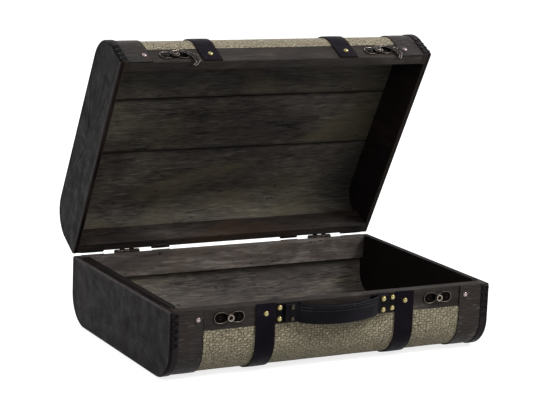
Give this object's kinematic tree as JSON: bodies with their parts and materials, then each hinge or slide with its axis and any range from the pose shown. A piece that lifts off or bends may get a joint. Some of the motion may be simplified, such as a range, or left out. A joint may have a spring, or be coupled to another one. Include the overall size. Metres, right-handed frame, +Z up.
{
  "type": "suitcase box",
  "caption": "Hinged wooden box in the shape of a small suitcase, with a woven covering, leather caps and straps, swing-hook latches and a carrying handle.",
  "frame": {"origin": "on the floor, under the middle of the bounding box of the open case", "axes": "+X along the case's width, to the right as seen from its front; +Y from the front, where the handle is, to the hinges; +Z up"},
  "size_m": [0.44, 0.3708, 0.3759],
  "materials": {
    "rail_wood": "dark stained, satin",
    "board_wood": "weathered grey-brown plank, matt",
    "end_wood": "dark brown, smooth, satin",
    "liner_wood": "dark brown, smooth, satin",
    "woven_cloth": "basket weave, greenish beige",
    "band_leather": "grained brown-black",
    "cap_leather": "grained brown-black with laced edges",
    "strap_leather": "near black, smooth, satin",
    "handle_leather": "near black, stitched",
    "stud_brass": "pale, worn, domed",
    "latch_bronze": "dark bronze with bright worn edges",
    "hinge_bronze": "dark bronze"
  },
  "bodies": {
    "base": {"base_rail_front": "rail_wood", "base_rail_back": "rail_wood", "base_end_board_left": "end_wood", "base_end_board_right": "end_wood", "base_end_liner_left": "liner_wood", "base_end_liner_right": "liner_wood", "base_floor_board_front": "board_wood", "base_floor_board_middle": "board_wood", "base_floor_board_back": "board_wood", "base_woven_cover": "woven_cloth", "base_band_left": "band_leather", "base_band_right": "band_leather", "base_cap_left": "cap_leather", "base_cap_right": "cap_leather", "base_strap_left": "strap_leather", "base_strap_right": "strap_leather", "base_band_studs": "stud_brass", "base_strap_studs": "stud_brass", "keeper_plate_left": "latch_bronze", "keeper_plate_right": "latch_bronze", "keeper_post_left": "latch_bronze", "keeper_post_right": "latch_bronze", "keeper_screws": "latch_bronze", "handle_patch_left": "handle_leather", "handle_patch_right": "handle_leather", "handle_grip": "handle_leather", "handle_studs": "stud_brass", "hinge_leaf_base_left": "hinge_bronze", "hinge_leaf_base_right": "hinge_bronze", "hinge_pin_left": "hinge_bronze", "hinge_pin_right": "hinge_bronze", "hinge_screws_base": "hinge_bronze"},
    "lid": {"lid_rail_front": "rail_wood", "lid_rail_back": "rail_wood", "lid_end_board_left": "end_wood", "lid_end_board_right": "end_wood", "lid_top_board_front": "board_wood", "lid_top_board_middle": "board_wood", "lid_top_board_back": "board_wood", "lid_woven_cover": "woven_cloth", "lid_band_left": "band_leather", "lid_band_right": "band_leather", "lid_cap_left": "cap_leather", "lid_cap_right": "cap_leather", "lid_strap_left": "strap_leather", "lid_strap_right": "strap_leather", "lid_band_studs": "stud_brass", "lid_strap_studs": "stud_brass", "latch_plate_left": "latch_bronze", "latch_plate_right": "latch_bronze", "latch_rivet_left": "latch_bronze", "latch_rivet_right": "latch_bronze", "latch_screws": "latch_bronze", "hinge_leaf_lid_left": "hinge_bronze", "hinge_leaf_lid_right": "hinge_bronze", "hinge_screws_lid": "hinge_bronze"},
    "hook_left": {"latch_hook_left": "latch_bronze"},
    "hook_right": {"latch_hook_right": "latch_bronze"}
  },
  "joints": [
    {"name": "lid_hinge", "type": "hinge", "parent": "base", "child": "lid", "pos_m": [0, 0.13522, 0.087], "axis": [-1, 0, 0], "range_deg": [-62, 103]},
    {"name": "hook_left_pivot", "type": "hinge", "parent": "lid", "child": "hook_left", "pos_m": [-0.144, 0.00484, 0.35926], "axis": [0, -0.4695, 0.8829], "range_deg": [-45, 135]},
    {"name": "hook_right_pivot", "type": "hinge", "parent": "lid", "child": "hook_right", "pos_m": [0.144, 0.00484, 0.35926], "axis": [0, -0.4695, 0.8829], "range_deg": [-57, 123]}
  ]
}
